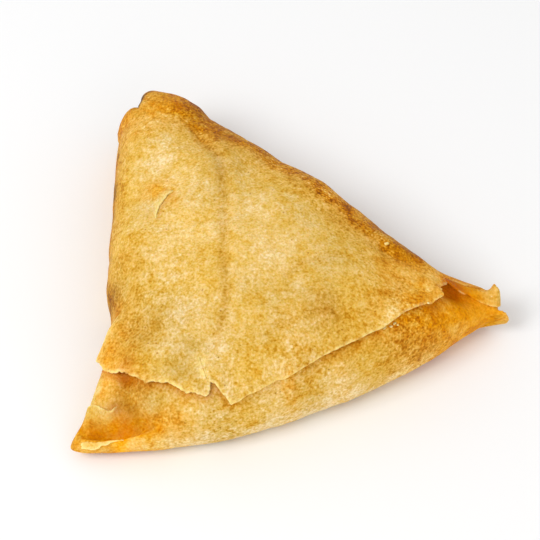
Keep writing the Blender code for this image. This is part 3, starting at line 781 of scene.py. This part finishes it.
def pastry_material():
    mat = bpy.data.materials.new("baked_pastry")
    mat.use_nodes = True
    tree = mat.node_tree
    tree.nodes.clear()

    def node(kind, inputs, **settings):
        """New node.  inputs gives each socket a value, or another node's output to take it from."""
        made = tree.nodes.new(kind)
        for key, value in settings.items():
            setattr(made, key, value)
        for key, value in inputs.items():
            if isinstance(value, bpy.types.NodeSocket):
                tree.links.new(value, made.inputs[key])
            else:
                made.inputs[key].default_value = value
        return made

    place = node("ShaderNodeTexCoord", {}).outputs["Object"]

    def cloud(scale, detail, rough):
        inputs = {"Vector": place, "Scale": scale, "Detail": detail, "Roughness": rough}
        return node("ShaderNodeTexNoise", inputs).outputs["Fac"]

    def cells(scale, feature="F1"):
        found = node("ShaderNodeTexVoronoi", {"Vector": place, "Scale": scale}, feature=feature)
        return found.outputs["Distance"], found.outputs["Color"]

    def calc(op, *values, clamp=False):
        return node("ShaderNodeMath", dict(enumerate(values)), operation=op, use_clamp=clamp).outputs[0]

    def add(a, b, clamp=False):
        return calc("ADD", a, b, clamp=clamp)

    def times(a, b, clamp=False):
        return calc("MULTIPLY", a, b, clamp=clamp)

    def centred(value, gain):
        return calc("MULTIPLY_ADD", value, gain, -0.5 * gain)

    def ramp(fac, stops):
        """Colour band from (place, red, green, blue) stops."""
        made = node("ShaderNodeValToRGB", {"Fac": fac})
        band = made.color_ramp
        while len(band.elements) < len(stops):
            band.elements.new(0.5)
        for e, (pos, *display) in zip(band.elements, stops):
            e.position = pos
            e.color = rgb(*display)
        return made.outputs["Color"]

    def mix(fac, a, b):
        return node("ShaderNodeMix", {0: fac, 6: a, 7: b}, data_type="RGBA", clamp_factor=True).outputs[2]

    def painted(key):
        return node("ShaderNodeAttribute", {}, attribute_name=key).outputs["Fac"]

    toast, oil, pale, torn, painted_shading, painted_shadow, char, coarse = (painted(key) for key in MASKS)
    drift = cloud(120.0, 4.0, 0.7)
    blotch = cloud(500.0, 2.0, 0.75)
    grain = cloud(2000.0, 1.0, 0.8)
    flour = cells(2300.0, "SMOOTH_F1")[1]
    # broad variation, stronger towards the dark side
    spread = add(centred(drift, 1.0), centred(blotch, 0.90))
    spread = times(spread, calc("MULTIPLY_ADD", coarse, 0.75, 1.0))
    spread = calc("MINIMUM", times(spread, 1.15), times(spread, 0.78))
    # fine grain, coarser where it is browned
    fine = add(centred(grain, 0.34), centred(flour, 0.20))
    fine = times(fine, add(calc("MULTIPLY_ADD", toast, 0.5, 1.0), times(coarse, 0.6)))
    level = add(add(spread, 0.52), times(fine, 1.5))
    level = add(level, times(pale, 0.35), clamp=True)
    colour = ramp(level, ((0.0, 207, 139, 12), (0.25, 220, 165, 50), (0.5, 228, 184, 84),
                          (0.75, 234, 198, 124), (1.0, 241, 216, 166)))
    browned = ramp(level, ((0.0, 136, 72, 0), (0.3, 178, 104, 0), (0.55, 204, 134, 8),
                           (0.8, 224, 166, 60), (1.0, 240, 204, 130)))
    amber = ramp(level, ((0.0, 190, 100, 0), (0.3, 213, 128, 0), (0.6, 232, 156, 2),
                         (0.85, 243, 184, 34), (1.0, 251, 212, 104)))

    def where(key):
        """How much of a browning shows: less on the lighter blotches."""
        return add(times(spread, times(key, -1.2)), times(key, 0.95), clamp=True)

    colour = mix(where(toast), colour, browned)
    colour = mix(where(oil), colour, amber)
    # painted shadow: brown orange where layers meet, in the deep folds and under free edges
    shadowed = calc("MULTIPLY_ADD", centred(blotch, 0.8), painted_shadow, times(painted_shadow, 0.85), clamp=True)
    colour = mix(shadowed, colour, rgb(188, 94, 0))
    pore, pore_tone = cells(430.0)
    pores = times(calc("LESS_THAN", pore, 0.085), calc("GREATER_THAN", pore_tone, 0.5))
    colour = mix(times(pores, 0.6), colour, rgb(166, 98, 20))
    # brightness from the fine pits and the broad blotches, less the painted shading: painted shade where
    # positive, painted light where negative
    pits = calc("MINIMUM", times(fine, 1.2), times(fine, 0.4))
    shade = calc("SUBTRACT", add(pits, times(spread, 0.10)), times(painted_shading, 0.40))
    colour = node("ShaderNodeVectorMath", {0: colour, "Scale": add(shade, 1.0)}, operation="SCALE").outputs[0]
    colour = mix(times(torn, 0.8, clamp=True), colour, rgb(252, 228, 150))
    colour = mix(times(char, 0.9, clamp=True), colour, rgb(58, 30, 10))
    height = add(grain, times(blotch, 0.9))
    bump = node("ShaderNodeBump", {"Strength": 0.28, "Distance": 0.0006, "Height": height})
    rough = calc("SUBTRACT", calc("MULTIPLY_ADD", blotch, 0.3, 0.42), times(oil, 0.12), clamp=True)
    shader = node("ShaderNodeBsdfPrincipled", {
        "Base Color": colour, "Normal": bump.outputs["Normal"], "Roughness": rough,
        "Specular IOR Level": 0.05, "Specular Tint": (1.0, 0.86, 0.6, 1.0),
        "Subsurface Weight": 0.2, "Subsurface Radius": (1.0, 0.5, 0.15), "Subsurface Scale": 0.0014})
    node("ShaderNodeOutputMaterial", {"Surface": shader.outputs["BSDF"]})
    return mat


pastry = pastry_material()

# ---- outer wrap (the flap)
# free edge of the wrap, round from the left side to the open corner, in plan mm
WRAP_START = (-34.5, 1.0)
LEFT_HIDDEN = ((-32.6, -4), (-31.6, -8), (-31.2, -11.5), (-31.1, -14.5))
LEFT_HANG = ((-31.1, -14.5), (-31.2, -16.4), (-32, -18.6), (-32.9, -21.2), (-33.7, -24))
LOWER_LEFT = (
    (-33.7, -24), (-33.1, -24.9), (-32.8, -26.2), (-32.4, -27.3), (-31.3, -28.1), (-29.9, -28.8),
    (-28.5, -29.3), (-27.3, -29.9), (-26.1, -30.8), (-24.1, -32.3), (-21.8, -32.5), (-20.4, -32.9),
    (-18.6, -33.9), (-16.3, -35.3), (-15.2, -35.1), (-12.5, -35.8), (-11.9, -35.3), (-11.9, -34.6),
    (-11.65, -33.75),
)
SLIT = ((-11.65, -33.75), (-12.5, -32.8), (-13.1, -30.8), (-13.7, -28.9))
LOWER_RIGHT = (
    (-11.4, -33.6), (-10.5, -33.9), (-9.4, -35.1), (-8.6, -35.7), (-7.9, -36.3), (-6.1, -35.5),
    (-4.6, -34.8), (-2.3, -34), (1.1, -32.3), (2.6, -31.9), (5.3, -30.4), (10.5, -27.2), (17.6, -23.4),
    (22.3, -20.6), (26.5, -17), (28.7, -15.3), (31.3, -13.6),
)
OPEN_EDGE = (
    (31.3, -13.6), (32.5, -13), (32.9, -12.2), (34.1, -11.3), (34.8, -10.7), (34.9, -10.1), (34.5, -9.6),
    (34.8, -9), (34.5, -8.3), (35.1, -7.5), (35.8, -6.9), (36.2, -6.2), (36.8, -5.6), (36.45, -5.1),
    (36.15, -4.5),
)
STRIP_EDGE = ((36.15, -4.5), (37, -4.5), (38.2, -4.6), (39.6, -4.8), (40.9, -4.95), (41.6, -4.5))
WRAP_STOP = (42.2, -3.6)
# each stretch of the free edge: how ragged it is, mm, and its seed
WRAP_TEARS = ((LEFT_HANG, 0.04, 21), (LOWER_LEFT, 0.30, 24), (SLIT, 0.0, 27), (LOWER_RIGHT, 0.09, 30),
              (OPEN_EDGE, 0.30, 33), (STRIP_EDGE, 0.05, 36))
TEAR_STEP = 0.16        # spacing of the points along a torn edge
SLIT_GAP = (0.14, 0.03)


def from_ends(line, count):
    """0 at both ends of a line, rising to 1 over so many points."""
    place = np.arange(len(line))
    return np.clip(np.minimum(place, place[::-1]) / count, 0.0, 1.0)


def wrap_outline():
    start, stop = unroll([WRAP_START, WRAP_STOP])
    start = start / way_round(start[None])[0]
    stop = stop / way_round(stop[None])[0]
    tears = [resample(unroll(LEFT_HIDDEN), 0.4)[:-1]]
    for plan, amount, seed in WRAP_TEARS:
        line = resample(unroll(plan), TEAR_STEP)
        if plan is SLIT:
            back = resample(unroll(SLIT)[::-1] + SLIT_GAP, TEAR_STEP)
            tears.append(np.concatenate([line, back])[1:-1])
        else:
            tears.append(ragged(line, amount * from_ends(line, 5.0), seed)[1:-1])
    free = np.concatenate(tears[1:] + [stop[None]])
    a0 = math.atan2(stop[1], stop[0])
    a1 = math.atan2(start[1], start[0]) % (2.0 * math.pi)
    angle = np.linspace(a0, a1, 1400)
    under = resample(rays(angle) * (WRAP * rim_radius(angle))[:, None], 0.8)
    sunk = np.concatenate([under[-6:], start[None], tears[0]])
    return free, sunk, np.concatenate([start[None], tears[0], free, under])


WRAP_FREE, WRAP_SUNK, WRAP_OUTLINE = wrap_outline()
WRAP_COARSE = resample(WRAP_OUTLINE, 2.0, True)
SLIT_U = unroll(SLIT)


def level_fade(u):
    return 1.0 - 0.45 * smooth(1.0, WRAP, way_round(u))


def overlap(u):
    """The right part of the wrap rides up over the left part at the slit."""
    top, low = SLIT_U[-1], SLIT_U[0]
    ahead = (low - top) / np.linalg.norm(low - top)
    rel = u - top
    right = rel[:, 1] * ahead[0] - rel[:, 0] * ahead[1]
    return 0.85 * smooth(0, 4, rel @ ahead) * (right > 0.0) * bell(np.maximum(right, 0), 7.0)


def strip_end(u):
    return smooth(35.5, 40, u[:, 0]) * smooth(-9, -6.5, u[:, 1])


def edge_lift(u):
    """How far the free edge stands off, mm."""
    lift = (0.30 + 0.35 * smooth(5, 30, u[:, 0]) + 0.45 * hump(u, (38, -9), 5.0)
            + 0.75 * hump(u, (-24.6, -22.5), 3.5) + 0.25 * hump(u, (-14, -29), 4.0)
            - 0.4 * hump(u, SLIT_U[0], 3.0))
    return lift * (1.0 - strip_end(u))


def wrap_height(u, gap):
    lift = edge_lift(u) * (1.0 - smooth(0, 5, gap)) ** 1.5
    height = (PASTRY + lift + 0.5) * level_fade(u) - 0.5
    return height * (1.0 - 0.55 * strip_end(u)) + overlap(u)


def wrap_outer(u, gap):
    """The wrap starts flush on the left side and frees itself further down."""
    sunk = 0.25
    return (wrap_height(u, gap) + sunk) * smooth(0, 4.5, gap_to(u, WRAP_SUNK, 0.3)) - sunk


def wrap_inner(u, gap):
    thick = 0.55 + 0.25 * smooth(0, 1.5, gap)
    sink = 1.2 * smooth(0.6, 5, gap)
    return wrap_outer(u, gap) - thick - sink


def wrap_tint(p, far):
    """The open end of the wrap is golden against the amber pastry under it, with no painted shadow; the end
    and the hem on the left are made lighter, and a paler painted highlight runs along the lower edge short of
    the open end.
    """
    end = smooth(28, 33.5, p[:, 0]) * smooth(13.6, 14.6, p[:, 2])
    edge = smooth(4.5, 1, far) * smooth(20, 24, p[:, 0]) * smooth(31, 27, p[:, 0])
    hem = smooth(2.2, 0.2, far) * smooth(-8, -13, p[:, 0]) * (0.7 + 0.8 * noise(p, 2.0, 32))
    return {"oil": -0.35 * end - 0.25 * edge, "painted_shadow": -end, "painted_shading": -0.15 * end - 0.15 * edge - 0.30 * hem,
            "toast": -0.3 * edge, "pale": 0.35 * edge + 0.25 * hem}


sheet_piece("pastry_wrap", WRAP_OUTLINE, WRAP_FREE, ((FINE, everywhere),), wrap_outer, wrap_inner,
            lump=wrap_relief, tint=wrap_tint)


# ---- small layers at the corners
def on_wrap(u):
    """Height of the wrap's outside, well inside its free edge."""
    well_inside = np.full(len(u), 9.0)
    return wrap_height(u, well_inside) + wrap_relief(skin(u, False)) - 0.05


def small_layer(name, free, hidden, thick, lift, fade, amount, seed,
                creased=True, rest=None, tint=None, corner=None):
    """Thin torn layer: free edge open, hidden edge sunk into what it lies on (unrolled points)."""
    edge = resample(free, 0.15)
    edge = ragged(edge, amount * from_ends(edge, 6.0), seed)
    sunk = resample(hidden, 0.4)
    outline = np.concatenate([edge, sunk[1:-1]])

    def outer(u, gap):
        grown = smooth(0.0, fade, gap_to(u, sunk))
        under = 0.0 if rest is None else rest(u)
        raised = 0.0 if corner is None else 0.32 * hump(u, corner, 0.9)
        return under + (thick + lift * bell(gap, 0.9) + raised) * grown - 0.22 * (1.0 - grown)

    def inner(u, gap):
        return outer(u, gap) - 0.40 - 0.3 * smooth(0.3, 2, gap)

    return sheet_piece(name, outline, edge, ((0.3, everywhere),), outer, inner, creased, tint=tint)


def around(plan, ways):
    """Unrolled points in the direction of plan points, at the given ways out from the centre."""
    ray, radius = heading(np.array(plan, float) - CENTRE)
    return ray * (np.array(ways) * radius)[:, None]


small_layer(
    "tip_wrap", unroll([
        (-37.6, -31.8), (-36.4, -32.4), (-35.6, -32.7), (-34.7, -33.3), (-34, -33.8), (-33.6, -34.3),
        (-32.8, -34.8), (-32.1, -35.3), (-31.4, -35.5), (-31, -35.1), (-30.5, -34.8), (-29.6, -35)
    ]), unroll([
        (-29.6, -35), (-29.4, -36.4), (-31.5, -37.6), (-35.5, -37.4), (-38.6, -36.2), (-38.6, -33.5),
        (-37.6, -31.8)
    ]), 0.24, 0.18, 2.0, 0.10, 41)


def lip_tint(p, far):
    """Pale and torn towards the corner, oily away from it, and lightened all over by painted light on the lit
    crest.
    """
    return {"oil": -0.5 * smooth(-30, -34, p[:, 0]), "painted_shading": np.full(len(p), -0.25),
            "torn": 0.5 * smooth(0.9, 0.2, far) * smooth(-29.5, -32.5, p[:, 0])}


small_layer(
    "lip", unroll([
        (-37.4, -39.75), (-37.75, -40.05), (-37.5, -40.2), (-37.65, -40.4), (-37.1, -40.5),
        (-36.4, -40.55), (-35.8, -40.65), (-34.9, -40.65), (-34.2, -40.6), (-33.5, -40.4),
        (-32.6, -40.45), (-31.7, -40.3), (-30.8, -40.25), (-29.8, -40.15), (-28.8, -40.1)
    ]), unroll([
        (-28.8, -40.1), (-29.8, -39.9), (-31.2, -39.85), (-33, -39.95), (-34.5, -40), (-35.5, -39.9),
        (-36.6, -39.7), (-37.4, -39.75)
    ]), 0.18, 0.12, 0.45, 0.10, 44, tint=lip_tint)


def cover_tint(p, far):
    """Painted shade and shadow where it comes out from under the wrap, with its pale torn edge taken off
    where shaded; paler and lightened at its tip.
    """
    tip = hump(p, (46.8, -7.4), 2.2)
    shaded = np.maximum(hump(p, (38.0, -5.7), 1.6), hump(p, (42.0, -7.3), 1.1))
    return {"torn": -0.9 * bell(far, 0.5) * shaded, "painted_shadow": 0.35 * smooth(43, 38, p[:, 0]),
            "oil": -0.6 * tip, "pale": 0.12 * tip,
            "painted_shading": 0.55 * smooth(40.5, 36.5, p[:, 0]) - 0.15 * tip}


small_layer(
    "open_cover", unroll([
        (35.2, -4.8), (36.6, -5.4), (37.4, -6), (38.4, -6.7), (39.1, -7.1), (39.8, -7.4), (40.4, -7.4),
        (40.9, -7.1), (41.7, -7.4), (42.7, -7.9), (43.5, -8), (44.4, -8.05), (45.5, -8.15), (46.6, -8.3),
        (47.3, -8.35), (47.6, -7.9), (47.65, -7.2), (47.5, -6.5), (47.3, -5.8), (47, -5.3)
    ]), unroll([
        (47, -5.3), (46, -4.7), (44.4, -4.9), (42, -4.6), (39, -3.7), (36, -3.2), (35.2, -4.6)
    ]), 0.36, 0.25, 1.2, 0.08, 50, creased=False, tint=cover_tint)
small_layer(
    "flake", unroll(FLAKE_EDGE), unroll([
        FLAKE_TIP, (-24.5, 4.2), (-24.6, 6.6), (-25.4, 10), (-25.6, 13.2), (-24, 14.6), (-21.6, 13.4),
        (-19.6, 11.2)
    ]), 0.26, 0.26, 1.6, 0.09, 53, creased=False, rest=on_wrap,
    tint=lambda _, far: {"oil": 0.25 * smooth(0.9, 1.8, far), "torn": 0.30 * smooth(1.9, 0.4, far)})
small_layer(
    "apex_cap",
    np.concatenate([
        unroll([
            (-30, 38.9), (-29.4, 39.5), (-28.8, 39.9), (-28.3, 40.8), (-27.9, 42.3), (-27.6, 43.8)
        ]),
        around([(-27.4, 46), (-27.3, 46)], [1.0, 1.1])]),
    np.concatenate([
        around([(-27.3, 46), (-24, 46), (-20, 46), (-16, 42), (-13, 40)], [1.1, 1.12, 1.12, 1.12, 1.1]),
        unroll([
            (-13.6, 37.6), (-14.4, 35.4), (-16, 33.5), (-20, 33.6), (-24, 35), (-28, 35.8), (-30, 36.8),
            (-30, 38.9)
        ])]),
    0.22, 0.15, 2.5, 0.14, 56, creased=False, rest=on_wrap, corner=unroll([(-27.4, 44.6)])[0],
    tint=lambda p, far: {"char": 1.3 * bell(far, 0.50), "torn": -np.ones(len(p))})

# loose specks of pastry: x, y, z, size, mm; the last, at the open corner, is a pale speck put in for a glint:
# a painted highlight
CRUMBS = (
    (23, -20.4, 17.3, 0.5), (24.3, -20.1, 17.3, 0.36), (25.1, -19.3, 17.2, 0.42), (25.7, -19.5, 17, 0.28),
    (24.2, 0, 18.9, 0.5), (33, -12.9, 15.9, 0.34), (32.2, -13.9, 16.9, 0.3), (46.2, -7.3, 10.4, 0.2),
)


def crumbs_piece():
    """Each crumb is a small flattened uneven lump; all are joined in one mesh."""
    rng = np.random.default_rng(5)
    verts = []
    faces = []
    for x, y, z, size in CRUMBS:
        lump = bmesh.new()
        bmesh.ops.create_icosphere(lump, subdivisions=2, radius=1.0)
        shape = np.array([tuple(v.co) for v in lump.verts])
        shape = shape * (1.0 + 0.35 * noise(shape + rng.normal(size=3) * 9.0, 1.1, 61))[:, None]
        shape = shape * (size * np.array([1.0, 0.7, 0.45]))
        turn = rng.uniform(0.0, math.pi)
        c, d = math.cos(turn), math.sin(turn)
        shape = shape @ np.array([[c, d, 0.0], [-d, c, 0.0], [0.0, 0.0, 1.0]])
        first = sum(len(k) for k in verts)
        faces += [[first + v.index for v in f.verts] for f in lump.faces]
        verts.append(shape + (x, y, z))
        lump.free()
    verts = np.concatenate(verts)
    shown = {"pale": 1.0, "torn": 0.6}
    make_piece("crumbs", verts, faces, {key: np.full(len(verts), shown.get(key, 0.0)) for key in MASKS})


crumbs_piece()


# ---- body
# ways round the skin, 1 being the outline
WALL_END = 1.16         # the walls, in full detail
TURN_END = 1.3          # the turn into the underside
SKIN_END = 1.36         # where the level underside takes over


def body_piece():
    outline = resample(rays(RIM_ANGLES) * (SKIN_END * rim_radius(RIM_ANGLES))[:, None], 1.0, True)
    edge = np.concatenate([WRAP_COARSE, WRAP_COARSE[:1]])

    def covered(u):
        return inside_of(u, WRAP_COARSE) & (gap_to(u, edge, 0.5) > 5.0)

    bands = (
        (FINE * 0.9, lambda u: (way_round(u) < WALL_END) & ~inside_of(u, WRAP_COARSE)),
        (0.9, lambda u: (way_round(u) < TURN_END) & (way_round(u) >= WALL_END)),
        (0.8, lambda u: (way_round(u) < WALL_END) & inside_of(u, WRAP_COARSE) & ~covered(u)),
        (2.5, covered),
    )
    u, tris = fill_outline(outline, bands)
    base = skin(u, True)
    normal = skin_normal(u, True)
    amount = fine_relief(base) * smooth(TURN_END, 1.1, way_round(u)) * smooth(0, 1.5, base[:, 2])
    verts = base + normal * amount[:, None]
    verts[:, 2] = np.maximum(verts[:, 2], 0.0)
    border = border_of(tris)
    verts[np.unique(border), 2] = 0.0
    # level underside, closed with its own triangles over the same border points
    follow = {a: b for a, b in border}
    order = [border[0][0]]
    while follow[order[-1]] != order[0]:
        order.append(follow[order[-1]])
    rim = verts[order][:, :2]
    below, below_tris = fill_outline(rim, ((1.4, everywhere),))
    extra = below[len(rim):]
    shift = np.concatenate([np.array(order), len(verts) + np.arange(len(extra))])
    faces = np.concatenate([tris, shift[below_tris[:, ::-1]]])
    # a triangle found both above and below has no thickness: both are left out
    _, kind, count = np.unique(np.sort(faces, axis=1), axis=0, return_inverse=True, return_counts=True)
    faces = faces[count[kind.ravel()] == 1].tolist()
    verts = np.concatenate([verts, np.pad(extra, ((0, 0), (0, 1)))])
    masks = masks_for(verts)
    # oily, with a painted shadow, just under the free edge of the wrap
    x = verts[:, 0]
    far_off = np.full((len(extra), 2), 99.0)
    near = gap_to(np.concatenate([u, far_off]), WRAP_FREE, 0.3)
    for key, value in (("oil", 0.5 * bell(near, 1.6) * (0.5 + 0.5 * smooth(-10, 25, x))),
                       ("painted_shadow", 0.45 * bell(near, 1.1) * smooth(-5, -11, x))):
        masks[key] = np.clip(masks[key] + value, 0, 1)
    return make_piece("pastry_body", verts, faces, masks)


body = body_piece()
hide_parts("samosa")

# ---- floor and light
floor_mesh = bpy.data.meshes.new("floor")
floor_mesh.from_pydata([(-3, -3, 0), (3, -3, 0), (3, 3, 0), (-3, 3, 0)], [], [(0, 1, 2, 3)])
floor = put("floor", floor_mesh)
floor.location.z = -0.0002
floor_mat = bpy.data.materials.new("floor")
floor_mat.use_nodes = True
floor_shader = floor_mat.node_tree.nodes["Principled BSDF"]
floor_shader.inputs["Base Color"].default_value = (0.93, 0.93, 0.93, 1.0)
floor_shader.inputs["Roughness"].default_value = 0.9
floor_mesh.materials.append(floor_mat)

world = bpy.data.worlds.new("studio")
bpy.context.scene.world = world
world.use_nodes = True
backdrop = world.node_tree.nodes["Background"]
backdrop.inputs["Color"].default_value = (1.0, 1.0, 1.0, 1.0)
backdrop.inputs["Strength"].default_value = 0.72


def softbox(name, location, size, power):
    data = bpy.data.lights.new(name, "AREA")
    data.shape = "SQUARE"
    data.size = size
    data.energy = power
    light = put(name, data)
    light.location = location
    light.rotation_euler = Vector(location).to_track_quat("Z", "Y").to_euler()


softbox("key", (-0.50, -0.30, 0.65), 0.40, 3.4)
softbox("fill", (0.30, -0.75, 0.35), 0.6, 1.0)

bpy.context.scene.view_settings.view_transform = "Standard"
